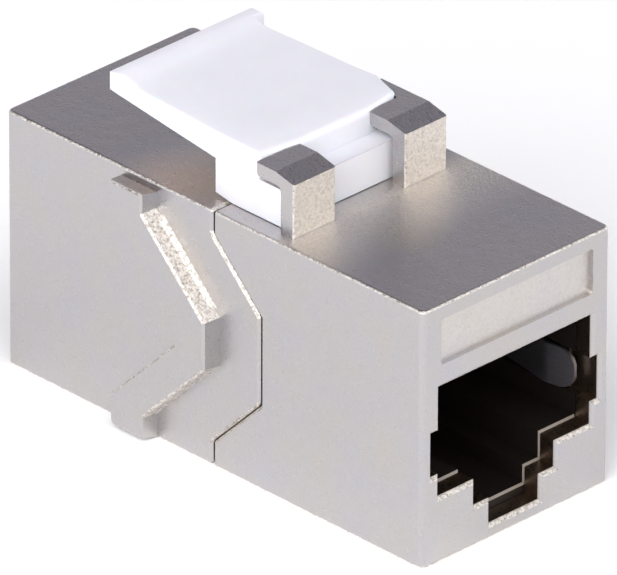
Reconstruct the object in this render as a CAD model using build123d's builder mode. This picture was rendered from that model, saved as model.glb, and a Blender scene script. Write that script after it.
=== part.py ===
"""Shielded RJ45 keystone coupler.

Two die-cast shells meet on a chevron seam. They hold two plastic jack inserts back to back on one
circuit board, and a moulded latch rocks under two cast hooks on the roof.

Frame: X across, Y from the front port to the rear port, Z up, origin at the centre of the underside.
Millimetres.
"""
import math
import os

from build123d import *

# Housing, the standard keystone module section
body_width = 14.6
body_length = 33.25
body_height = 16.15
corner_radius = 0.45
roof_edge_radius = 0.18
floor_edge_break = 0.15
end_wall = 1.25
side_wall = 0.9
roof_wall = 1.1
floor_wall = 0.75

# Seam between the shells
seam_gap = 0.12
seam_break = 0.16
seam_straight = 1.5
seam_middle = 5.59

# Chevron rib on each side of the rear shell, front edge and rear edge
rib_proud = 1.1
rib_front_y = 4.33
rib_front_straight = 1.5
rib_front_middle = 3.15
rib_rear_y = 7.37
rib_rear_straight = 2.25
rib_rear_middle = 1.45
rib_root = 0.7
rib_top_drop = 0.4
rib_top_dip = 0.25
rib_draft = 8
rib_edge_break = 0.12
rib_foot_radius = 0.6
rib_foot_break = 0.3
rib_foot_slope = 45

# Cast pins that locate the shells on each other
pin_radius = 0.6
pin_clearance = 0.03
pin_engagement = 2.0
boss_height = 1.8
boss_length = 4.2

# Port, one at each end, the plug's latch downwards
port_wall = 1.37
port_roof = 5.18
port_base = 4.1
notch_wall = 0.8
notch_rise = 1.4
notch_height = 2.75
keyway_width = 6.27
keyway_depth = 1.65
slot_width = 3.86
slot_depth = 3.25
port_edge_break = 0.22
port_depth = 13.4

# Label recess over the front port, left bare
recess_width = 11.8
recess_height = 2.85
recess_roof = 0.9
recess_depth = 0.28
recess_corner = 0.2

# Hooks on the roof that hold the latch
hook_front = 11.0
hook_post = 1.1
hook_reach = 3.0
hook_height = 3.75
hook_underside = 2.85
hook_crease = 1.46
hook_fall = 0.35
hook_width = 3.25
near_hook_x = -4.87
far_hook_x = 3.79
hook_corner = 0.15
hook_tip_radius = 0.3
rail_width = 0.92
rail_end = 16.2

# Latch
latch_rail_gap = 0.15
latch_left = -6.0
latch_seat = 0.05
latch_front = 12.45
ledge_height = 2.7
ledge_relief = 0.32
hook_side_gap = 0.18
slab_front = 14.15
slab_height = 4.64
slab_front_radius = 0.45
block_rear = 17.7
block_rear_height = 2.35
ramp_start = 22.3
ramp_height = 4.22
lip_front = 25.5
lip_rear = 26.2
lip_low = 3.45
lip_height = 4.6
lip_right = 5.75
lip_corner = 0.4
latch_edge_break = 0.12
latch_relief = 0.22
rock_y = 16.3

# Jack inserts
insert_clearance = 0.05
insert_step = 0.12
insert_slot_step = 0.6
insert_mouth_break = 0.12
board_thickness = 1.2
board_clearance = 0.05
carrier_wall = 0.6
carrier_front = 5.6
carrier_rise = 0.39

# Spring contacts
contact_count = 8
contact_pitch = 1.02
contact_width = 0.46
contact_thickness = 0.25
contact_bend = 0.35
contact_run_rise = 1.69
contact_run_step = 1.1
contact_fold = 3.9
contact_tip_y = 11.0
contact_tip_drop = 2.41
contact_channel = 0.12
comb_wall = 0.4
comb_length = 1.9
comb_drop = 2.46
tail_hole_radius = 0.36

# Shield springs in the side notches of each port
spring_thickness = 0.2
spring_side_gap = 0.125
spring_tip = 1.4
spring_crest = 3.4
spring_seat = 6.8
spring_end = 9.6
spring_bend = 1.5
spring_inset = 0.55
spring_nose = 1.1

# Places that follow from the sizes above
front_y = -body_length / 2
inner_half_width = body_width / 2 - side_wall
inner_roof = body_height - roof_wall
inner_height = inner_roof - floor_wall
port_half = body_width / 2 - port_wall
port_top = body_height - port_roof
notch_half = body_width / 2 - notch_wall
notch_low = port_base + notch_rise
notch_middle = notch_low + notch_height / 2
mid_height = body_height / 2
seam_reach = mid_height - seam_straight - seam_middle / 2
rib_front_reach = mid_height - rib_front_straight - rib_front_middle / 2
rib_rear_reach = mid_height - rib_rear_straight - rib_rear_middle / 2
insert_end = -(board_thickness / 2 + board_clearance)
insert_start = front_y + end_wall + insert_clearance
carrier_half_width = (contact_count - 1) / 2 * contact_pitch + contact_width / 2 + carrier_wall
boss_width = inner_half_width - carrier_half_width - 3 * insert_clearance
boss_x = inner_half_width - insert_clearance - boss_width / 2
boss_z = inner_roof - boss_height / 2
far_hook_right = far_hook_x + hook_width / 2
latch_right = far_hook_right - rail_width - latch_rail_gap
spill = 1.0


def behind(depth):
    """Y of a point at a depth behind the front face."""
    return front_y + depth


def chevron(end_y, reach, straight):
    """Chevron edge from the roof to the underside, its middle reaching towards -Y for a positive reach."""
    inset = straight + abs(reach)
    return [
        (end_y, body_height + spill),
        (end_y, body_height - straight),
        (end_y - reach, body_height - inset),
        (end_y - reach, inset),
        (end_y, straight),
        (end_y, -spill),
    ]


def port_outline(step=0, slot_step=0):
    """Corners of the port in X and Z, its lower steps and its slot floor raised by two amounts."""
    low = port_base + step
    right = [
        (port_half, port_top),
        (port_half, notch_low + notch_height),
        (notch_half, notch_low + notch_height),
        (notch_half, notch_low),
        (port_half, notch_low),
        (port_half, low),
        (keyway_width / 2, low),
        (keyway_width / 2, low - keyway_depth),
        (slot_width / 2, low - keyway_depth),
        (slot_width / 2, port_base - slot_depth + slot_step),
    ]
    left = [(-x, z) for x, z in reversed(right)]
    return right + left


def on_seam_outline(edge, reach):
    """True for an edge where a shell's seam face meets the outside of the housing."""
    middle = edge.center()
    in_walls = abs(middle.X) < inner_half_width + side_wall / 2
    inside = in_walls and floor_wall / 2 < middle.Z < body_height - roof_wall / 2
    for vertex in edge.vertices():
        inset = min(vertex.Z, body_height - vertex.Z) - seam_straight
        seam_y = -math.copysign(min(max(inset, 0), seam_reach), reach)
        if abs(vertex.Y - seam_y) > seam_gap:
            return False
    return not inside


def shell_blank(reach):
    """Shell with its port towards -Y: rounded block, hollow, cut on the seam and open at the port."""
    with BuildPart() as blank:
        with BuildSketch():
            RectangleRounded(body_width, body_length, corner_radius)
        extrude(amount=body_height)
        fillet(blank.faces().sort_by(Axis.Z)[-1].edges(), roof_edge_radius)
        chamfer(blank.faces().sort_by(Axis.Z)[0].edges(), floor_edge_break)
        with BuildSketch(Plane.YZ):
            seam = [(y - seam_gap / 2, z) for y, z in chevron(0, reach, seam_straight)]
            with BuildLine():
                Polyline((front_y - spill, seam[0][1]), *seam, (front_y - spill, seam[-1][1]), close=True)
            make_face()
        extrude(amount=body_width, both=True, mode=Mode.INTERSECT)
        with BuildSketch(Plane.XZ.offset(-front_y - end_wall)):
            with Locations((0, floor_wall + inner_height / 2)):
                Rectangle(2 * inner_half_width, inner_height)
        extrude(amount=-body_length, mode=Mode.SUBTRACT)
        with BuildSketch(Plane.XZ.offset(-front_y + spill)):
            with BuildLine():
                Polyline(*port_outline(), close=True)
            make_face()
        extrude(amount=-(end_wall + 2 * spill), mode=Mode.SUBTRACT)
        mouth = blank.faces().filter_by(Axis.Y).sort_by(Axis.Y)[0].inner_wires()[0]
        chamfer(mouth.edges(), port_edge_break)
        chamfer(blank.edges().filter_by(lambda edge: on_seam_outline(edge, reach)), seam_break)
    return blank.part


def corner_boss(length):
    """Square boss under the roof at the upper left corner, ending at the shell's mid-length face."""
    with BuildPart() as boss:
        with Locations((-boss_x, -seam_gap / 2 - length / 2, boss_z + roof_wall / 4)):
            Box(boss_width, length, boss_height + roof_wall / 2)
    return boss.part


def side_rib():
    """Drafted chevron rib for the right wall, its top dipping inwards and its foot rounded behind."""
    with BuildPart() as rib:
        with BuildSketch(Plane.YZ.offset(body_width / 2 - rib_root)) as outline:
            front = chevron(rib_front_y, rib_front_reach, rib_front_straight)
            rear = chevron(rib_rear_y, rib_rear_reach, rib_rear_straight)
            with BuildLine():
                Polyline(*front, *reversed(rear), close=True)
            make_face()
            with Locations((0, mid_height)):
                Rectangle(body_length, body_height, mode=Mode.INTERSECT)
            fillet(outline.vertices().group_by(Axis.Y)[0].sort_by(Axis.X)[-1], rib_foot_radius)
        extrude(amount=rib_root + rib_proud, taper=rib_draft)
        with BuildSketch(Plane.YZ.offset(body_width / 2 - rib_foot_break)):
            foot = chevron(rib_front_y - 2 * rib_foot_break, rib_front_reach, rib_front_straight)
            with BuildLine():
                Polyline(*foot, *reversed(rear), close=True)
            make_face()
            with Locations((0, body_height - rib_front_straight)):
                Rectangle(body_length, rib_front_reach, align=(Align.CENTER, Align.MAX), mode=Mode.INTERSECT)
        extrude(amount=2 * rib_foot_break, taper=rib_foot_slope)
        outer_x = body_width / 2 + rib_proud
        inner_x = body_width / 2 - rib_root
        with BuildSketch(Plane.XZ):
            with BuildLine():
                Polyline(
                    (inner_x, 0),
                    (outer_x, 0),
                    (outer_x, body_height - rib_top_drop),
                    (inner_x, body_height - rib_top_drop - rib_top_dip),
                    close=True,
                )
            make_face()
        extrude(amount=body_length, both=True, mode=Mode.INTERSECT)
        chamfer(rib.faces().sort_by(Axis.X)[-1].outer_wire().edges(), rib_edge_break)
    return rib.part


def hook(centre_x):
    """Cast hook: a post with a nose over the latch, its top falling towards the front."""
    with BuildPart() as blank:
        with BuildSketch(Plane.YZ.offset(centre_x)):
            top = body_height + hook_height
            under = body_height + hook_underside
            root = inner_roof + roof_wall / 2
            post_rear = behind(hook_front + hook_post)
            with BuildLine():
                Polyline(
                    (behind(hook_front), root),
                    (behind(hook_front), top - hook_fall),
                    (behind(hook_front + hook_crease), top),
                    (behind(hook_front + hook_reach), top),
                    (behind(hook_front + hook_reach), under),
                    (post_rear, under),
                    (post_rear, root),
                    close=True,
                )
            make_face()
        extrude(amount=hook_width / 2, both=True)
        nose = blank.edges().filter_by(Axis.X).group_by(Axis.Y)[-1].sort_by(Axis.Z)
        fillet(nose[0], hook_tip_radius)
        throat = blank.edges().filter_by(Axis.X).filter_by_position(Axis.Z, under, under)
        fillet(throat.filter_by_position(Axis.Y, post_rear, post_rear), hook_tip_radius)
        uprights = blank.edges().filter_by(Axis.Z).group_by(Axis.Y)
        fillet(uprights[0] + uprights[-1], hook_corner)
    return blank.part


def jack_insert():
    """Moulded insert behind a port: plug cavity open at its sides, carrier slot and contact comb."""
    with BuildPart() as insert:
        with BuildSketch(Plane.XZ.offset(-insert_start)):
            with Locations((0, (floor_wall + inner_roof) / 2)):
                Rectangle(2 * (inner_half_width - insert_clearance), inner_height - 2 * insert_clearance)
        extrude(amount=-(insert_end - insert_start))
        with BuildSketch(Plane.XZ.offset(-insert_start)):
            with BuildLine():
                Polyline(*port_outline(insert_step, insert_slot_step), close=True)
            make_face()
        extrude(amount=-(behind(port_depth) - insert_start), mode=Mode.SUBTRACT)
        mouth = insert.edges().filter_by_position(Axis.Y, insert_start, insert_start)
        lower = mouth.filter_by(lambda edge: abs(edge.center().X) < port_half and edge.center().Z < notch_low)
        chamfer(lower.filter_by(lambda edge: edge.center().Z > floor_wall + insert_clearance), insert_mouth_break)
        for side in (-1, 1):
            with Locations((side * inner_half_width, insert_end, inner_roof)):
                Box(
                    2 * (boss_width + 2 * insert_clearance),
                    boss_length + pin_engagement,
                    2 * (boss_height + 2 * insert_clearance),
                    align=(Align.CENTER, Align.MAX, Align.CENTER),
                    mode=Mode.SUBTRACT,
                )
        with Locations((0, insert_end, port_top - comb_wall)):
            Box(
                2 * carrier_half_width,
                insert_end - behind(contact_fold - contact_bend - contact_thickness),
                inner_roof,
                align=(Align.CENTER, Align.MAX, Align.MIN),
                mode=Mode.SUBTRACT,
            )
        with Locations((0, behind(port_depth), port_top)):
            with GridLocations(contact_pitch, 1, contact_count + 1, 1):
                Box(comb_wall, comb_length, comb_drop, align=(Align.CENTER, Align.MAX, Align.MAX))
    return insert.part


def contact_x(index):
    """X of a contact, counted from the left."""
    return (index - (contact_count - 1) / 2) * contact_pitch


def contact_z(index):
    """Height of a contact's straight run: neighbours run in two rows."""
    return port_top + contact_run_rise + (index % 2) * contact_run_step


def contact(index):
    """Bent contact wire: soldered tail, straight run, fold over the mouth and sloping free end."""
    with BuildPart() as wire:
        with BuildSketch(Plane.YZ.offset(contact_x(index))):
            fold = behind(contact_fold)
            tip_z = port_top - contact_tip_drop
            with BuildLine():
                FilletPolyline(
                    (board_thickness / 2, contact_z(index)),
                    (fold, contact_z(index)),
                    (fold + contact_bend, port_top),
                    (behind(contact_tip_y), tip_z),
                    (behind(port_depth) - comb_wall, tip_z + contact_bend),
                    radius=contact_bend,
                )
            trace(line_width=contact_thickness)
        extrude(amount=contact_width / 2, both=True)
    return wire.part


def contact_carrier():
    """Moulded block over the plug cavity with a channel for each contact's straight run."""
    with BuildPart() as carrier:
        length = insert_end - board_clearance - behind(carrier_front)
        carrier_floor = port_top + carrier_rise
        with Locations((0, insert_end - board_clearance, carrier_floor)):
            Box(
                2 * (carrier_half_width - insert_clearance),
                length,
                inner_roof - insert_clearance - carrier_floor,
                align=(Align.CENTER, Align.MAX, Align.MIN),
            )
        fillet(carrier.edges().filter_by(Axis.X).group_by(Axis.Y)[0], insert_clearance * 6)
        with Locations([(contact_x(i), 0, contact_z(i)) for i in range(contact_count)]):
            Box(
                contact_width + contact_channel,
                body_length,
                contact_thickness + contact_channel,
                mode=Mode.SUBTRACT,
            )
    return carrier.part


def shield_spring():
    """Bowed leaf against the right wall of a port, its free end rounded."""
    with BuildPart() as leaf:
        wall_x = inner_half_width - insert_clearance - spring_thickness / 2
        spring_height = notch_height - 2 * spring_side_gap
        with BuildSketch(Plane.XY.offset(notch_low + spring_side_gap)):
            with BuildLine():
                FilletPolyline(
                    (wall_x - spring_thickness, behind(spring_tip)),
                    (wall_x - spring_inset, behind(spring_crest)),
                    (wall_x, behind(spring_seat)),
                    (wall_x, behind(spring_end)),
                    radius=spring_bend,
                )
            trace(line_width=spring_thickness)
        extrude(amount=spring_height)
        with BuildSketch(Plane.YZ):
            with Locations((behind(spring_tip), notch_middle)):
                RectangleRounded(body_length, spring_height, spring_nose, align=(Align.MIN, Align.CENTER))
        extrude(amount=body_width, mode=Mode.INTERSECT)
    return leaf.part


shell_half = shell_blank(seam_reach)
rear_half = shell_blank(-seam_reach)
rib_blank = side_rib()
boss_blank = corner_boss(boss_length)
near_hook = hook(near_hook_x)
far_hook = hook(far_hook_x)

with BuildPart() as front_shell:
    add(shell_half)
    add(boss_blank)
    add(boss_blank.mirror(Plane.YZ))
    with Locations(*[Plane((side * boss_x, -seam_gap / 2, boss_z), z_dir=(0, 1, 0)) for side in (-1, 1)]):
        Hole(pin_radius + pin_clearance, depth=pin_engagement + seam_gap)
    add(near_hook)
    add(far_hook)
    rail_x = far_hook_right - rail_width / 2
    rail_length = rail_end - hook_front - hook_crease
    with Locations((rail_x, behind(rail_end) - rail_length / 2, body_height - roof_wall / 2)):
        Box(rail_width, rail_length, hook_height + roof_wall / 2, align=(Align.CENTER, Align.CENTER, Align.MIN))
    with BuildSketch(Plane.XZ.offset(-front_y)):
        with Locations((0, body_height - recess_roof - recess_height / 2)):
            RectangleRounded(recess_width, recess_height, recess_corner)
    extrude(amount=-recess_depth, mode=Mode.SUBTRACT)
front_shell.part.label = "front_shell"

with BuildPart() as rear_shell:
    add(rear_half.rotate(Axis.Z, 180))
    rear_boss = boss_blank.rotate(Axis.Z, 180)
    add(rear_boss)
    add(rear_boss.mirror(Plane.YZ))
    with Locations(*[Plane((side * boss_x, seam_gap / 2, boss_z), z_dir=(0, -1, 0)) for side in (-1, 1)]):
        Cylinder(pin_radius, pin_engagement, align=(Align.CENTER, Align.CENTER, Align.MIN))
    add(rib_blank)
    add(rib_blank.mirror(Plane.YZ))
rear_shell.part.label = "rear_shell"

with BuildPart() as latch:
    with BuildSketch(Plane.YZ.offset(latch_left)) as profile:
        roof = body_height
        with BuildLine():
            Polyline(
                (behind(latch_front), roof + latch_seat),
                (behind(latch_front), roof + ledge_height),
                (behind(slab_front), roof + ledge_height),
                (behind(slab_front), roof + slab_height),
                (behind(ramp_start), roof + ramp_height),
                (behind(lip_front), roof + lip_height),
                (behind(lip_rear), roof + lip_height),
                (behind(lip_rear), roof + lip_low),
                (behind(block_rear), roof + block_rear_height),
                (behind(block_rear), roof + latch_seat + latch_relief),
                (behind(rock_y), roof + latch_seat),
                close=True,
            )
        make_face()
        brow = (behind(slab_front), roof + slab_height)
        fillet(profile.vertices().sort_by_distance(Vector(latch_left, *brow))[0], slab_front_radius)
    extrude(amount=latch_right - latch_left)
    chamfer(latch.faces().filter_by(Axis.X).edges(), latch_edge_break)
    for hook_x in (near_hook_x, far_hook_x):
        with Locations((hook_x, behind(slab_front), roof + ledge_height)):
            Box(
                hook_width + 2 * hook_side_gap,
                2 * (slab_front - latch_front),
                2 * ledge_relief,
                align=(Align.CENTER, Align.MAX, Align.CENTER),
                mode=Mode.SUBTRACT,
            )
    with BuildSketch(Plane.XZ.offset(-behind(lip_front))) as lip:
        with Locations((0, roof + lip_low)):
            Rectangle(lip_right, lip_height - lip_low, align=(Align.MIN, Align.MIN))
        fillet(lip.vertices().group_by(Axis.X)[-1], lip_corner)
    extrude(amount=-(lip_rear - lip_front))
latch.part.label = "latch"

front_insert = jack_insert()
carrier_blank = contact_carrier()
spring_blank = shield_spring()
contacts = [contact(i) for i in range(contact_count)]

with BuildPart() as circuit_board:
    with BuildSketch(Plane.XZ.offset(board_thickness / 2)):
        with Locations((0, (floor_wall + inner_roof) / 2)):
            Rectangle(2 * (inner_half_width - insert_clearance), inner_height - 2 * insert_clearance)
        for side in (-1, 1):
            with Locations((side * inner_half_width, inner_roof)):
                cleared_width = boss_width + 2 * insert_clearance
                cleared_height = boss_height + 2 * insert_clearance
                Rectangle(2 * cleared_width, 2 * cleared_height, mode=Mode.SUBTRACT)
        with Locations((0, port_top + contact_run_rise + contact_run_step / 2)):
            with GridLocations(contact_pitch, contact_run_step, contact_count, 2):
                Circle(tail_hole_radius, mode=Mode.SUBTRACT)
    extrude(amount=-board_thickness)
circuit_board.part.label = "circuit_board"


def labelled(part, name):
    """The piece under its own name."""
    part.label = name
    return part


pieces = [front_shell.part, rear_shell.part, latch.part, circuit_board.part]
for end, turn in (("front", 0), ("rear", 180)):
    pieces.append(labelled(front_insert.rotate(Axis.Z, turn), f"{end}_jack_insert"))
    pieces.append(labelled(carrier_blank.rotate(Axis.Z, turn), f"{end}_contact_carrier"))
    pieces.append(labelled(spring_blank.rotate(Axis.Z, turn), f"{end}_shield_spring_a"))
    pieces.append(labelled(spring_blank.mirror(Plane.YZ).rotate(Axis.Z, turn), f"{end}_shield_spring_b"))
    for index, wire in enumerate(contacts, start=1):
        pieces.append(labelled(wire.rotate(Axis.Z, turn), f"{end}_contact_{index}"))

os.makedirs("parts", exist_ok=True)
for piece in pieces:
    export_step(piece, f"parts/{piece.label}.step")
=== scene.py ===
import math

import bmesh
import bpy
from mathutils import Matrix, Vector


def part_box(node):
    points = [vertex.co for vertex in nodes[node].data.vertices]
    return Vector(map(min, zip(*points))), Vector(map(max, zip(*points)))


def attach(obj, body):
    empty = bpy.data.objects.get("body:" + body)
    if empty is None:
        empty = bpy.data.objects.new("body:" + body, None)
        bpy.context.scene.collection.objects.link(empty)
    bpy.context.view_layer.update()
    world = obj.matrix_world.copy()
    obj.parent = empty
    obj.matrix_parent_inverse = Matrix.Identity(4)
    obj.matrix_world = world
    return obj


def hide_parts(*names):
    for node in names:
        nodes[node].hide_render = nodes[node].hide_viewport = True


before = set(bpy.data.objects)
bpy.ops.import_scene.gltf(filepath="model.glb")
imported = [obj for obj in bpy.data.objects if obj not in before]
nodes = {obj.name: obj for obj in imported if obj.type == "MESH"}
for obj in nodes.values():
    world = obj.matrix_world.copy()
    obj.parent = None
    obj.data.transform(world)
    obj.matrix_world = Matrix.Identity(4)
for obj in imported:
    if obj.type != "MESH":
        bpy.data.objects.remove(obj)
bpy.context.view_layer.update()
bpy.ops.object.select_all(action="DESELECT")


# Die-cast shells
# The two halves of the housing are cast in zinc, tumbled until their edges are blunt, and plated
# with satin nickel. They stay as the frame has them, and get the plating's finish here.
MM = 0.001
FRONT_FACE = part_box("front_shell")[0][1]
ROOF_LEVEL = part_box("rear_shell")[1][2]
NICKEL_WARM = "#C3BDB6"
NICKEL_COOL = "#BBBBC2"
NICKEL_ROUGHNESS = (0.24, 0.42)
PLATING_PATCH = 2.5 * MM
CAST_GRAIN = 0.16 * MM
CAST_GRAIN_HEIGHT = 0.015 * MM
CAST_GRAIN_SPAN = (0.3, 0.7)
CAST_RIPPLE = 0.8 * MM
CAST_RIPPLE_HEIGHT = 0.010 * MM
# The die's pale skin; on the roof at the hooks' feet this pale colour is a painted reflection of the latch's
# ledge.
DIE_SKIN_AND_SHEEN = "#EEE7DF"
DIE_SKIN_PIT = "#D2CAC1"
# Painted highlight: the blunt edges are painted paler, speckled with darker pits, so that they sparkle.
BLUNT_HIGHLIGHT = "#EAE5DF"
BLUNT_PIT = "#9A928A"
DIE_SKIN_ROUGHNESS = (0.3, 0.62)
DIE_SKIN_GRAIN = 0.18 * MM
DIE_SKIN_HEIGHT = 0.07 * MM
DIE_SKIN_SPAN = (0.35, 0.65)
DIE_SKIN_PITS = (0.36, 0.56)
BLUNT_FACING = (0.975, 0.86)
SLOPE_FACING = (0.1, 0.3)
SQUARE_FACING = (0.8, 0.95)
# Painted reflection: a warm tint on the level roof beside the latch's arm, full near this spot and gone
# beyond the farther reach.
ARM_REFLECTION_TINT = "#D8C6B8"
ARM_REFLECTION_SPOT = (-6.3 * MM, 3.4 * MM, 16.2 * MM)
ARM_REFLECTION_REACH = (4.6 * MM, 1 * MM)
# Where the roof at the hooks' feet carries the pale skin as a painted reflection of the latch's ledge, and
# how much of it.
HOOK_FOOT_START = FRONT_FACE + 5.5 * MM
HOOK_FOOT_PALEST = FRONT_FACE + 11 * MM
HOOK_FOOT_END = FRONT_FACE + 12.6 * MM
HOOK_FOOT_GLOW_SHARE = 0.8
RECESS_LOW = 12.35 * MM
RECESS_FACE = FRONT_FACE + 0.1 * MM
RECESS_FLOOR = FRONT_FACE + 0.2 * MM
RECESS_REAR = FRONT_FACE + 1 * MM
RECESS_SHARE = 0.4
THROAT_BROWN = "#8E7C6C"
THROAT_MOUTH = -FRONT_FACE - 0.15 * MM
THROAT_DEEP = -FRONT_FACE - 0.3 * MM
THROAT_SIDE = 6.6 * MM
THROAT_TOP = 11.1 * MM
THROAT_LOW = 0.75 * MM


def linear(hex_colour):
    """The linear RGBA of an sRGB hex colour."""
    parts = [int(hex_colour[i:i + 2], 16) / 255 for i in (1, 3, 5)]
    return [c / 12.92 if c <= 0.04045 else ((c + 0.055) / 1.055) ** 2.4 for c in parts] + [1]


def add_node(tree, kind, settings=None, **links):
    """Adds a node with its settings, and links its inputs, by name or as i0, i1 and so on, to outputs.

    A node that is given in place of an output stands for its first one.
    """
    node = tree.nodes.new(kind)
    for name, value in (settings or {}).items():
        if isinstance(name, str) and hasattr(node, name):
            setattr(node, name, value)
        else:
            node.inputs[name].default_value = value
    for name, source in links.items():
        by_number = name[0] == "i" and name[1:].isdigit()
        socket = node.inputs[int(name[1:]) if by_number else name.replace("_", " ")]
        tree.links.new(source.outputs[0] if hasattr(source, "outputs") else source, socket)
    return node


def new_material(name):
    """An empty node material, and its tree."""
    material = bpy.data.materials.new(name)
    material.use_nodes = True
    material.node_tree.nodes.clear()
    return material, material.node_tree


def dress(material, *names):
    """Gives CAD nodes this material in every slot."""
    for name in names:
        for slot in nodes[name].material_slots:
            slot.material = material


def facing_parts(tree):
    """How far a surface faces up, and how squarely it faces along y, along z and along its nearest axis."""
    facing = add_node(tree, "ShaderNodeNewGeometry").outputs["Normal"]
    across, along, up = add_node(tree, "ShaderNodeSeparateXYZ", Vector=facing).outputs
    flat = [add_node(tree, "ShaderNodeMath", {"operation": "ABSOLUTE"}, i0=part)
            for part in (across, along, up)]
    larger = add_node(tree, "ShaderNodeMath", {"operation": "MAXIMUM"}, i0=flat[0], i1=flat[1])
    squareness = add_node(tree, "ShaderNodeMath", {"operation": "MAXIMUM"}, i0=larger, i1=flat[2])
    return up, flat[1], flat[2], squareness


# Satin nickel over a tumbled casting: it looks like grey metal with blurred reflections and a fine
# grain. Sloping edges, the hooks' fronts and the roof at their feet keep the die's coarser, paler skin.
# On the edges that skin is painted paler still, with dark pits, as a painted highlight that sparkles, and
# on the roof at the hooks' feet its paler colour is a painted reflection of the latch's white ledge.
# Inside the ports the walls are coloured brown, and beside the latch's arm the roof carries a warm
# painted reflection of the arm.
# The real grain is too fine to show, so it is drawn at 0.16 mm, and the die's skin at 0.18 mm.
satin_nickel, tree = new_material("satin_nickel_plating")
place = add_node(tree, "ShaderNodeTexCoord").outputs["Object"]
x, y, z = add_node(tree, "ShaderNodeSeparateXYZ", Vector=place).outputs
side = add_node(tree, "ShaderNodeMath", {"operation": "ABSOLUTE"}, i0=x)
reach = add_node(tree, "ShaderNodeMath", {"operation": "ABSOLUTE"}, i0=y)
up, flat_y, flat_z, squareness = facing_parts(tree)
from_arm_reflection = add_node(tree, "ShaderNodeVectorMath", {"operation": "DISTANCE", 1: ARM_REFLECTION_SPOT}, i0=place)
patch = add_node(tree, "ShaderNodeTexNoise", {"Scale": 1 / PLATING_PATCH, "Detail": 3}, Vector=place)
grain = add_node(tree, "ShaderNodeTexNoise", {"Scale": 1 / CAST_GRAIN, "Detail": 4, "Roughness": 0.6},
                 Vector=place)
ripple = add_node(tree, "ShaderNodeTexNoise", {"Scale": 1 / CAST_RIPPLE, "Detail": 2}, Vector=place)
crust = add_node(tree, "ShaderNodeTexNoise", {"Scale": 1 / DIE_SKIN_GRAIN, "Detail": 5, "Roughness": 0.7,
                                              "Distortion": 0.6}, Vector=place)

# A mask is 1 on one part of the casting and 0 elsewhere. These are bands, which go from 0 at a start
# to 1 at an end, by what each surface faces or where it lies.
mask = {}
for name, measure, start, end in (
        ("off_square", squareness, *BLUNT_FACING),
        ("sloping", flat_z, *SLOPE_FACING),
        ("level", up, *SQUARE_FACING),
        ("endways", flat_y, *SQUARE_FACING),
        ("not_endways", flat_y, *reversed(SQUARE_FACING)),
        ("above_roof", z, ROOF_LEVEL, ROOF_LEVEL + CAST_GRAIN),
        ("behind_foot_start", y, HOOK_FOOT_START, HOOK_FOOT_PALEST),
        ("before_foot_end", y, HOOK_FOOT_END, HOOK_FOOT_PALEST),
        ("above_recess_low", z, RECESS_LOW, RECESS_LOW + CAST_GRAIN),
        ("behind_recess_face", y, RECESS_FACE, RECESS_FLOOR),
        ("before_recess_rear", y, RECESS_REAR, RECESS_FLOOR),
        ("inside_mouth", reach, THROAT_MOUTH, THROAT_DEEP),
        ("between_sides", side, THROAT_SIDE + CAST_GRAIN, THROAT_SIDE),
        ("below_throat_top", z, THROAT_TOP + CAST_GRAIN, THROAT_TOP),
        ("above_throat_low", z, THROAT_LOW - CAST_GRAIN, THROAT_LOW),
        ("near_arm_reflection", from_arm_reflection.outputs["Value"], *ARM_REFLECTION_REACH),
        ("unpitted", crust, *DIE_SKIN_PITS)):
    mask[name] = add_node(tree, "ShaderNodeMapRange", {"From Min": start, "From Max": end}, Value=measure)

# The roof at the hooks' feet, whose paler colour is a painted reflection of the latch's white ledge, and the
# shallow recess over the port keep only a share of that skin.
mask["foot_glow_share"] = add_node(tree, "ShaderNodeMath", {"operation": "SUBTRACT", 0: HOOK_FOOT_GLOW_SHARE},
                              i1=mask["above_roof"])
mask["recess_share"] = add_node(tree, "ShaderNodeMath", {"operation": "MULTIPLY", 1: RECESS_SHARE},
                                i0=mask["before_recess_rear"])

# The rest are made of the ones before them: all of those at once, or the strongest of them.
for name, operation, first, *others in (
        ("raised_or_sloping", "MAXIMUM", "above_roof", "sloping"),
        ("blunt", "MULTIPLY", "off_square", "raised_or_sloping"),
        ("hook_front", "MULTIPLY", "endways", "above_roof"),
        ("hook_foot_skin_and_glow", "MULTIPLY", "behind_foot_start", "before_foot_end", "level", "foot_glow_share"),
        ("recess", "MULTIPLY", "above_recess_low", "behind_recess_face", "endways", "recess_share"),
        ("die_skin_and_sheen", "MAXIMUM", "blunt", "hook_foot_skin_and_glow", "hook_front", "recess"),
        ("throat", "MULTIPLY", "inside_mouth", "between_sides", "below_throat_top", "above_throat_low",
         "not_endways"),
        ("arm_reflection", "MULTIPLY", "near_arm_reflection", "level")):
    mask[name] = mask[first]
    for other in others:
        mask[name] = add_node(tree, "ShaderNodeMath", {"operation": operation}, i0=mask[name], i1=mask[other])

# The plating's colours, laid one over another where each mask says.
plating = add_node(tree, "ShaderNodeMix", {"data_type": "RGBA", 6: linear(NICKEL_COOL),
                                           7: linear(NICKEL_WARM)}, i0=patch)
# The warm painted reflection of the latch's arm, laid over the plating.
with_arm_reflection = add_node(tree, "ShaderNodeMix", {"data_type": "RGBA", 7: linear(ARM_REFLECTION_TINT)}, i0=mask["arm_reflection"],
                  i6=plating.outputs[2])
speckle = add_node(tree, "ShaderNodeMix", {"data_type": "RGBA", 6: linear(DIE_SKIN_PIT), 7: linear(DIE_SKIN_AND_SHEEN)},
                   i0=mask["unpitted"])
# The painted highlight on the blunt edges, broken by dark pits.
sparkle = add_node(tree, "ShaderNodeMix", {"data_type": "RGBA", 6: linear(BLUNT_PIT), 7: linear(BLUNT_HIGHLIGHT)},
                   i0=mask["unpitted"])
skin_and_edge_highlight = add_node(tree, "ShaderNodeMix", {"data_type": "RGBA"}, i0=mask["blunt"], i6=speckle.outputs[2],
                     i7=sparkle.outputs[2])
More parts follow.
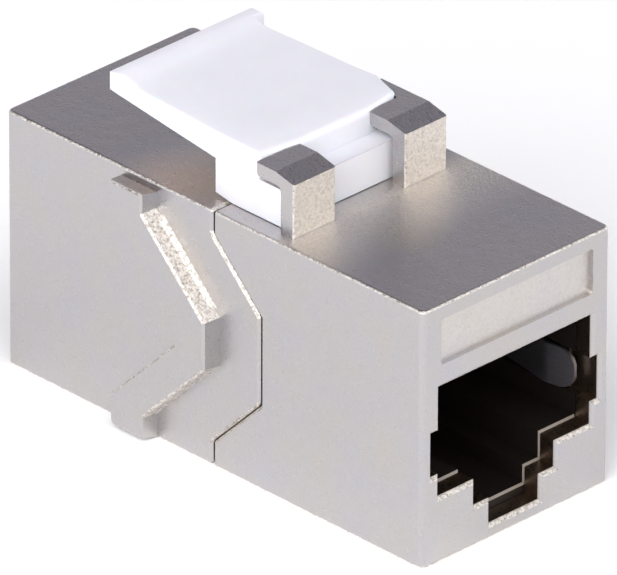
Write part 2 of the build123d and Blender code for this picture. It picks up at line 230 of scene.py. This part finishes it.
# The pale skin, with its painted highlight on the edges and painted reflection at the hooks' feet, over the
# plating.
with_skin_and_sheen = add_node(tree, "ShaderNodeMix", {"data_type": "RGBA"}, i0=mask["die_skin_and_sheen"], i6=with_arm_reflection.outputs[2],
                   i7=skin_and_edge_highlight.outputs[2])
tint = add_node(tree, "ShaderNodeMix", {"data_type": "RGBA", 7: linear(THROAT_BROWN)}, i0=mask["throat"],
                i6=with_skin_and_sheen.outputs[2])
satin = add_node(tree, "ShaderNodeMapRange",
                 {"From Min": CAST_GRAIN_SPAN[0], "From Max": CAST_GRAIN_SPAN[1],
                  "To Min": NICKEL_ROUGHNESS[0], "To Max": NICKEL_ROUGHNESS[1]}, Value=grain)
coarse = add_node(tree, "ShaderNodeMapRange",
                  {"From Min": DIE_SKIN_SPAN[0], "From Max": DIE_SKIN_SPAN[1],
                   "To Min": DIE_SKIN_ROUGHNESS[0], "To Max": DIE_SKIN_ROUGHNESS[1]}, Value=crust)
rough = add_node(tree, "ShaderNodeMix", {"data_type": "FLOAT"}, i0=mask["die_skin_and_sheen"], i2=satin, i3=coarse)
waves = add_node(tree, "ShaderNodeBump", {"Strength": 1, "Distance": CAST_RIPPLE_HEIGHT}, Height=ripple)
pits = add_node(tree, "ShaderNodeBump", {"Strength": 1, "Distance": CAST_GRAIN_HEIGHT}, Height=grain,
                Normal=waves)
lumps = add_node(tree, "ShaderNodeBump", {"Distance": DIE_SKIN_HEIGHT}, Strength=mask["die_skin_and_sheen"],
                 Height=crust, Normal=pits)
shader = add_node(tree, "ShaderNodeBsdfPrincipled", {"Metallic": 1}, Base_Color=tint.outputs[2],
                  Roughness=rough, Normal=lumps)
add_node(tree, "ShaderNodeOutputMaterial", Surface=shader)
dress(satin_nickel, "front_shell", "rear_shell")


# Latch
# One white moulding: a foot that snaps under the hooks, a thick arm and a finger lip. It is nylon,
# straight from a polished tool, with every edge softly rounded, which the frame's latch isn't.
# Its sizes are in millimetres: across, behind the housing's front face, and above its roof.
LATCH_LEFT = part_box("latch")[0][0] / MM
FOOT_RIGHT = 4.345
FOOT_FRONT = (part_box("latch")[0][1] - FRONT_FACE) / MM
FOOT_REAR = 17.7
FOOT_LOW = 0.05
HEEL = 16.35
HEEL_RELIEF = 0.22
LEDGE_TOP = 2.82
POCKET_DROP = 0.44
POCKET_SIDES = (-3.06, 1.98)
SLAB_FRONT = 14.2
SLAB_PROUD = 0.4
SLAB_TOP = 3.98
RAIL_CLEAR = 3.86
SKIRT = 0.05
SLAB_RIGHT = ((SLAB_FRONT, 4.45), (HEEL, 5.15), (FOOT_REAR, 5.02))
ARM_LOW = 2.4
ARM_RIGHT = 4.35
LIP_FRONT = 25.45
LIP_REAR = 26.15
ARM_STATIONS = ((22.4, 3.0, 4.2, 4.6), (23.4, 3.13, 4.23, 4.5), (24.2, 3.24, 4.3, 4.42),
                (24.9, 3.33, 4.42, 4.38), (LIP_FRONT, 3.4, 4.62, ARM_RIGHT),
                (LIP_REAR, 3.5, 4.62, ARM_RIGHT))
LIP_MIDDLE = 4.0
LIP_RIGHT = 5.3
LIP_END_DROP = 0.55
LIP_ROUND = 0.45
SIDE_ROUND = 0.5
BROW_ROUND = 0.42
MOULD_ROUND = 0.16
ROUND_STEPS = 3
SMOOTH_ANGLE = math.radians(50)

# Margins for finding what to shape: how near a place counts, and how squarely a side counts as
# facing or sloping.
NEAR = 0.1
SAME_PLACE = 0.002
FACING = 0.9
SLOPING = 0.5


def latch_point(x, depth, height):
    """A place on the latch: millimetres across, behind the front face and above the roof."""
    return Vector((x * MM, FRONT_FACE + depth * MM, ROOF_LEVEL + height * MM))


def choose(kind, test):
    """Selects the open mesh's points, edges or faces whose middle and outward side pass a test."""
    bpy.ops.mesh.select_mode(type={"verts": "VERT", "edges": "EDGE", "faces": "FACE"}[kind])
    bpy.ops.mesh.select_all(action="DESELECT")
    mesh = bmesh.from_edit_mesh(bpy.context.edit_object.data)
    for part in getattr(mesh, kind):
        if kind == "verts":
            middle, aim = part.co, part.normal
        elif kind == "edges":
            middle = (part.verts[0].co + part.verts[1].co) / 2
            aim = sum((face.normal for face in part.link_faces), Vector())
        else:
            middle, aim = part.calc_center_median(), part.normal
        place = (middle - latch_point(0, 0, 0)) / MM
        part.select_set(bool(test(place, aim.normalized())))
    mesh.select_flush_mode()
    bmesh.update_edit_mesh(bpy.context.edit_object.data)


def shift(x=0, depth=0, height=0):
    """Moves what is selected, in millimetres."""
    bpy.ops.transform.translate(value=(x * MM, depth * MM, height * MM))


def pull(x=0, depth=0, height=0):
    """Extrudes what is selected, in millimetres."""
    bpy.ops.mesh.extrude_region_move(TRANSFORM_OT_translate={"value": (x * MM, depth * MM, height * MM)})


def cut(place, facing, test=lambda at, aim: True):
    """Cuts the open mesh's faces that pass a test across at a place."""
    choose("faces", test)
    bpy.ops.mesh.bisect(plane_co=place, plane_no=facing)


# The foot starts as a block, cut where the pockets, the slab and the heel begin.
foot_low = latch_point(LATCH_LEFT, FOOT_FRONT, FOOT_LOW)
foot_high = latch_point(FOOT_RIGHT, FOOT_REAR, LEDGE_TOP)
bpy.ops.mesh.primitive_cube_add(size=1, location=(foot_low + foot_high) / 2, scale=foot_high - foot_low)
soft_latch = bpy.context.object
soft_latch.name = "moulded_latch"
bpy.ops.object.transform_apply(location=True, rotation=True, scale=True)
bpy.ops.object.mode_set(mode="EDIT")
for depth in (SLAB_FRONT, HEEL):
    cut(latch_point(0, depth, 0), (0, 1, 0))
for x in POCKET_SIDES:
    cut(latch_point(x, 0, 0), (1, 0, 0))
cut(latch_point(0, 0, ARM_LOW), (0, 0, 1))
choose("verts", lambda at, aim: at.y > FOOT_REAR - NEAR and at.z < FOOT_LOW + NEAR)
shift(height=HEEL_RELIEF)

# The slab stands on the rear of the foot and comes forward between the hooks, and the foot drops
# under both hooks.
choose("faces", lambda at, aim: aim.z > FACING and at.y > SLAB_FRONT)
pull(height=SLAB_TOP - LEDGE_TOP)
choose("faces", lambda at, aim: aim.y < -FACING and at.z > LEDGE_TOP
       and POCKET_SIDES[0] < at.x < POCKET_SIDES[1])
shift(depth=-SLAB_PROUD)
choose("faces", lambda at, aim: aim.z > FACING and at.z < LEDGE_TOP + NEAR and at.y < SLAB_FRONT
       and not POCKET_SIDES[0] < at.x < POCKET_SIDES[1])
shift(height=-POCKET_DROP)

# The arm runs back from the slab and turns up into the lip. A station is its depth, its underside,
# its top and its right side.
last_low, last_high, last_depth = ARM_LOW, SLAB_TOP, FOOT_REAR
for depth, low, high, right in ARM_STATIONS:
    choose("faces", lambda at, aim: aim.y > FACING and at.y > last_depth - NEAR and at.z > ARM_LOW)
    pull(depth=depth - last_depth)
    bpy.ops.transform.resize(value=(1, 1, (high - low) / (last_high - last_low)),
                             center_override=latch_point(0, depth, last_low))
    shift(height=low - last_low)
    last_low, last_high, last_depth = low, high, depth

# Its right side steps out over the hook's rail, and is widest just behind it.
cut(latch_point(0, 0, RAIL_CLEAR), (0, 0, 1),
    lambda at, aim: aim.x > FACING and SLAB_FRONT < at.y < HEEL and at.z > LEDGE_TOP)
choose("faces", lambda at, aim: aim.x > FACING and ((at.y > HEEL and at.z > ARM_LOW)
                                                    or (at.y > SLAB_FRONT and at.z > RAIL_CLEAR)))
pull(x=SKIRT)
for depth, *_, right in SLAB_RIGHT + ARM_STATIONS:
    choose("verts", lambda at, aim: at.x > FOOT_RIGHT + SKIRT / 2 and abs(at.y - depth) < NEAR)
    shift(x=right - FOOT_RIGHT - SKIRT)
choose("faces", lambda at, aim: aim.x > FACING and at.y > LIP_FRONT)
pull(x=LIP_RIGHT - ARM_RIGHT)
choose("verts", lambda at, aim: at.x > LIP_RIGHT - NEAR and at.z < LIP_MIDDLE)
shift(height=-LIP_END_DROP)

# Wide rounds on the left side, the slab's brow and the lip's corner, and a small one everywhere else.
choose("edges", lambda at, aim: aim.x < -SLOPING and aim.z > SLOPING and at.z > LEDGE_TOP + NEAR
       and at.y < LIP_FRONT)
bpy.ops.mesh.bevel(offset=SIDE_ROUND * MM, segments=ROUND_STEPS, affect="EDGES")
choose("edges", lambda at, aim: aim.y < -SLOPING and aim.z > SLOPING and at.z > LEDGE_TOP + NEAR
       and at.y < SLAB_FRONT + NEAR)
bpy.ops.mesh.bevel(offset=BROW_ROUND * MM, segments=ROUND_STEPS, affect="EDGES")
choose("edges", lambda at, aim: aim.x > SLOPING and aim.z > SLOPING and at.x > LIP_RIGHT - NEAR)
bpy.ops.mesh.bevel(offset=LIP_ROUND * MM, segments=2 * ROUND_STEPS, affect="EDGES")
bpy.ops.mesh.select_all(action="SELECT")
bpy.ops.mesh.remove_doubles(threshold=SAME_PLACE * MM)
bpy.ops.mesh.normals_make_consistent(inside=False)
bpy.ops.object.mode_set(mode="OBJECT")
soft_latch.modifiers.new("rounds", "BEVEL")
soft_latch.modifiers["rounds"].width = MOULD_ROUND * MM
soft_latch.modifiers["rounds"].segments = ROUND_STEPS
soft_latch.modifiers["rounds"].limit_method = "ANGLE"
bpy.ops.object.modifier_apply(modifier="rounds")
bpy.ops.object.shade_smooth_by_angle(angle=SMOOTH_ANGLE)
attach(soft_latch, "latch")
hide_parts("latch")
bpy.ops.object.select_all(action="DESELECT")

# Moulded nylon: it looks white with a soft sheen and an almost even skin, whose grain is too fine to
# show and is drawn at 0.25 mm. A little light goes into it.
LATCH_WHITE = "#E2E2E8"
LATCH_SHADE = "#DADAE1"
NYLON_ROUGHNESS = (0.34, 0.46)
NYLON_DEPTH = 0.6 * MM
NYLON_GLOW = 0.2
MOULD_FLOW = 2.5 * MM
MOULD_GRAIN = 0.25 * MM
MOULD_GRAIN_HEIGHT = 0.002 * MM
moulded_nylon, tree = new_material("moulded_white_nylon")
place = add_node(tree, "ShaderNodeTexCoord").outputs["Object"]
flow = add_node(tree, "ShaderNodeTexNoise", {"Scale": 1 / MOULD_FLOW, "Detail": 2}, Vector=place)
skin = add_node(tree, "ShaderNodeTexNoise", {"Scale": 1 / MOULD_GRAIN, "Detail": 3}, Vector=place)
tint = add_node(tree, "ShaderNodeMix", {"data_type": "RGBA", 6: linear(LATCH_SHADE), 7: linear(LATCH_WHITE)},
                i0=flow)
rough = add_node(tree, "ShaderNodeMapRange", {"To Min": NYLON_ROUGHNESS[0], "To Max": NYLON_ROUGHNESS[1]},
                 Value=skin)
bump = add_node(tree, "ShaderNodeBump", {"Strength": 1, "Distance": MOULD_GRAIN_HEIGHT}, Height=skin)
shader = add_node(tree, "ShaderNodeBsdfPrincipled",
                  {"Subsurface Weight": NYLON_GLOW, "Subsurface Scale": NYLON_DEPTH},
                  Base_Color=tint.outputs[2], Roughness=rough, Normal=bump)
add_node(tree, "ShaderNodeOutputMaterial", Surface=shader)
soft_latch.data.materials.append(moulded_nylon)
dress(moulded_nylon, "latch")


# Jack inserts and contact carriers
# Each port has a black insert with the plug's cavity, and a carrier that holds the contact row.
# Both are glass-filled polyester, moulded in a finely eroded tool.
INSERT_BLACK = "#0E0B0A"
INSERT_BROWN = "#1C1411"
# The grey of the painted highlight along the mouldings' edges.
INSERT_EDGE_HIGHLIGHT = "#8C8379"
INSERT_ROUGHNESS = (0.36, 0.55)
FIBRE_FLOW = 0.5 * MM
ERODED_GRAIN = 0.1 * MM
ERODED_GRAIN_HEIGHT = 0.003 * MM

# Glass-filled polyester: it looks near black, with a dull warm sheen and a fine eroded grain, drawn
# at 0.1 mm. A painted highlight, a thin grey line, lies along its rounded and sloping edges.
glass_filled, tree = new_material("moulded_black_polyester")
place = add_node(tree, "ShaderNodeTexCoord").outputs["Object"]
fibre = add_node(tree, "ShaderNodeTexNoise", {"Scale": 1 / FIBRE_FLOW, "Detail": 4}, Vector=place)
skin = add_node(tree, "ShaderNodeTexNoise", {"Scale": 1 / ERODED_GRAIN, "Detail": 3}, Vector=place)
edge_highlight = add_node(tree, "ShaderNodeMapRange", {"From Min": BLUNT_FACING[0], "From Max": BLUNT_FACING[1]},
                       Value=facing_parts(tree)[-1])
body_tint = add_node(tree, "ShaderNodeMix", {"data_type": "RGBA", 6: linear(INSERT_BLACK),
                                             7: linear(INSERT_BROWN)}, i0=fibre)
# The edges' painted highlight, laid over the black.
tint = add_node(tree, "ShaderNodeMix", {"data_type": "RGBA", 7: linear(INSERT_EDGE_HIGHLIGHT)}, i0=edge_highlight,
                i6=body_tint.outputs[2])
rough = add_node(tree, "ShaderNodeMapRange", {"To Min": INSERT_ROUGHNESS[0], "To Max": INSERT_ROUGHNESS[1]},
                 Value=skin)
bump = add_node(tree, "ShaderNodeBump", {"Strength": 1, "Distance": ERODED_GRAIN_HEIGHT}, Height=skin)
shader = add_node(tree, "ShaderNodeBsdfPrincipled", Base_Color=tint.outputs[2], Roughness=rough, Normal=bump)
add_node(tree, "ShaderNodeOutputMaterial", Surface=shader)
dress(glass_filled, "front_jack_insert", "rear_jack_insert", "front_contact_carrier", "rear_contact_carrier")


# Shield springs
# A leaf of tinned phosphor bronze stands in each side of each port and grips the plug's shield.
# It is sheared from rolled strip and bent, and its faces keep the fine streaks of the rolls.
SPRING_GREY = "#98959E"
SPRING_LIGHT = "#C0BEC8"
SPRING_ROUGHNESS = (0.34, 0.46)
ROLLED_STREAK = 0.08 * MM
ROLLED_STREAK_HEIGHT = 0.0002 * MM
ROLLED_STRETCH = 0.06

# Rolled tinned strip: it looks blue-grey, with fine streaks along its length, drawn 0.08 mm apart.
rolled_strip, tree = new_material("tinned_spring_strip")
place = add_node(tree, "ShaderNodeTexCoord").outputs["Object"]
along = add_node(tree, "ShaderNodeMapping", {"Scale": (1, ROLLED_STRETCH, 1)}, Vector=place)
streak = add_node(tree, "ShaderNodeTexNoise", {"Scale": 1 / ROLLED_STREAK, "Detail": 3}, Vector=along)
tint = add_node(tree, "ShaderNodeMix", {"data_type": "RGBA", 6: linear(SPRING_GREY), 7: linear(SPRING_LIGHT)},
                i0=streak)
rough = add_node(tree, "ShaderNodeMapRange", {"To Min": SPRING_ROUGHNESS[0], "To Max": SPRING_ROUGHNESS[1]},
                 Value=streak)
bump = add_node(tree, "ShaderNodeBump", {"Strength": 1, "Distance": ROLLED_STREAK_HEIGHT}, Height=streak)
shader = add_node(tree, "ShaderNodeBsdfPrincipled", {"Metallic": 1}, Base_Color=tint.outputs[2],
                  Roughness=rough, Normal=bump)
add_node(tree, "ShaderNodeOutputMaterial", Surface=shader)
dress(rolled_strip, *[name for name in nodes if "shield_spring" in name])


# Contacts
# Eight wires a port, bent from drawn phosphor bronze and gold plated where the plug touches them.
# The carrier holds them in a row, and they are soldered to the circuit board.
CONTACT_GOLD = "#E2BC6A"
CONTACT_GOLD_WORN = "#C89C4E"
CONTACT_ROUGHNESS = (0.16, 0.3)
DRAWN_LINE = 0.15 * MM
DRAWN_LINE_HEIGHT = 0.001 * MM

# Hard gold over drawn wire: it looks bright yellow. The marks of the wire's die are faint and too
# fine to show, so they are drawn at 0.15 mm.
gold_plating, tree = new_material("hard_gold_plating")
place = add_node(tree, "ShaderNodeTexCoord").outputs["Object"]
line = add_node(tree, "ShaderNodeTexNoise", {"Scale": 1 / DRAWN_LINE, "Detail": 2}, Vector=place)
tint = add_node(tree, "ShaderNodeMix", {"data_type": "RGBA", 6: linear(CONTACT_GOLD_WORN),
                                        7: linear(CONTACT_GOLD)}, i0=line)
rough = add_node(tree, "ShaderNodeMapRange", {"To Min": CONTACT_ROUGHNESS[0], "To Max": CONTACT_ROUGHNESS[1]},
                 Value=line)
bump = add_node(tree, "ShaderNodeBump", {"Strength": 1, "Distance": DRAWN_LINE_HEIGHT}, Height=line)
shader = add_node(tree, "ShaderNodeBsdfPrincipled", {"Metallic": 1}, Base_Color=tint.outputs[2],
                  Roughness=rough, Normal=bump)
add_node(tree, "ShaderNodeOutputMaterial", Surface=shader)
dress(gold_plating, *[name for name in nodes if "_contact_" in name and "carrier" not in name])


# Circuit board
# An upright board of glass fibre laminate, cut from sheet, joins the two contact rows, which are
# soldered to it. Green solder resist covers both faces.
RESIST_GREEN = "#1F5A38"
RESIST_DARK = "#17452B"
RESIST_ROUGHNESS = 0.3
GLASS_WEAVE = 0.8 * MM
GLASS_WEAVE_HEIGHT = 0.002 * MM

# Solder resist: it looks green and glossy, with the laminate's 0.8 mm weave faintly under it.
solder_resist, tree = new_material("green_solder_resist")
place = add_node(tree, "ShaderNodeTexCoord").outputs["Object"]
weave = add_node(tree, "ShaderNodeTexWave", {"Scale": 1 / GLASS_WEAVE, "Distortion": 1},
                 Vector=place).outputs["Fac"]
tint = add_node(tree, "ShaderNodeMix", {"data_type": "RGBA", 6: linear(RESIST_DARK), 7: linear(RESIST_GREEN)},
                i0=weave)
bump = add_node(tree, "ShaderNodeBump", {"Strength": 1, "Distance": GLASS_WEAVE_HEIGHT}, Height=weave)
shader = add_node(tree, "ShaderNodeBsdfPrincipled", {"Roughness": RESIST_ROUGHNESS},
                  Base_Color=tint.outputs[2], Normal=bump)
add_node(tree, "ShaderNodeOutputMaterial", Surface=shader)
dress(solder_resist, "circuit_board")


# Floor
# A sheet of white card under the object, matt and much larger than it. It lies at the height of the
# housing's underside.
FLOOR_REACH = 0.6
FLOOR_WHITE = "#FFFFFF"
FLOOR_ROUGHNESS = 0.9
FLOOR_SHINE = 0.1
white_card, tree = new_material("matt_white_card")
shader = add_node(tree, "ShaderNodeBsdfPrincipled", {"Base Color": linear(FLOOR_WHITE),
                                                    "Roughness": FLOOR_ROUGHNESS,
                                                    "Specular IOR Level": FLOOR_SHINE})
add_node(tree, "ShaderNodeOutputMaterial", Surface=shader)
bpy.ops.mesh.primitive_plane_add(size=2 * FLOOR_REACH, location=(0, 0, 0))
floor = bpy.context.object
floor.name = "floor"
floor.data.materials.append(white_card)


# Camera
# A long lens at the photograph's angle, fitted to seven corners of the housing. The distance is in
# metres, and the lens's length in the photograph's pixels.
AZIMUTH = math.radians(-44.450)
ELEVATION = math.radians(28.539)
ROLL = math.radians(0.169)
DISTANCE = 0.96865
TARGET = Vector((0.22386, 0.0471, 8.42766)) * MM
PICTURE_WIDTH = 617
FOCAL_PIXELS = 17350.1
SENSOR = 36
CLIP_NEAR = 0.01
CLIP_FAR = 10
back = Vector((math.sin(AZIMUTH) * math.cos(ELEVATION), -math.cos(AZIMUTH) * math.cos(ELEVATION),
               math.sin(ELEVATION)))
bpy.ops.object.camera_add()
camera = bpy.context.object
camera.matrix_world = (Matrix.Translation(TARGET + back * DISTANCE) @ Matrix.Rotation(AZIMUTH, 4, "Z")
                       @ Matrix.Rotation(math.pi / 2 - ELEVATION, 4, "X") @ Matrix.Rotation(ROLL, 4, "Z"))
camera.data.sensor_width = SENSOR
camera.data.lens = FOCAL_PIXELS * SENSOR / PICTURE_WIDTH
camera.data.clip_start = CLIP_NEAR
camera.data.clip_end = CLIP_FAR
bpy.context.scene.camera = camera


# Studio
# A soft white tent with a dark screen above and behind the object, which the housing's top mirrors,
# and two soft square lamps. A lamp is its place, its side and its power, in metres and watts.
TENT_WHITE = "#FFFFFF"
TENT_POWER = 1.28
SCREEN_TINT = "#D3CBE6"
SCREEN_POWER = 0.112
SCREEN_SIDE = Vector((0, 0.45, 0.89))
SCREEN_EDGE = (0.42, 0.84)
LAMPS = {"key": (Vector((-0.42, -0.14, 0.38)), 0.6, 3.3), "fill": (Vector((0.45, -0.25, 0.35)), 0.25, 0.2)}
world = bpy.data.worlds.new("tent")
world.use_nodes = True
tree = world.node_tree
tree.nodes.clear()
direction = add_node(tree, "ShaderNodeTexCoord").outputs["Generated"]
toward = add_node(tree, "ShaderNodeVectorMath", {"operation": "DOT_PRODUCT", 1: SCREEN_SIDE}, i0=direction)
cover = add_node(tree, "ShaderNodeMapRange", {"From Min": SCREEN_EDGE[0], "From Max": SCREEN_EDGE[1]},
                 Value=toward.outputs["Value"])
power = add_node(tree, "ShaderNodeMapRange", {"To Min": TENT_POWER, "To Max": SCREEN_POWER}, Value=cover)
cloth = add_node(tree, "ShaderNodeMix", {"data_type": "RGBA", 6: linear(TENT_WHITE), 7: linear(SCREEN_TINT)},
                 i0=cover)
glow = add_node(tree, "ShaderNodeBackground", Color=cloth.outputs[2], Strength=power)
add_node(tree, "ShaderNodeOutputWorld", Surface=glow)
bpy.context.scene.world = world
bpy.context.scene.view_settings.view_transform = "Standard"

for name, (spot, lamp_side, watts) in LAMPS.items():
    bpy.ops.object.light_add(type="AREA", location=spot)
    lamp = bpy.context.object
    lamp.name = name
    lamp.data.size = lamp_side
    lamp.data.energy = watts
    lamp.rotation_euler = (-spot).to_track_quat("-Z", "Y").to_euler()
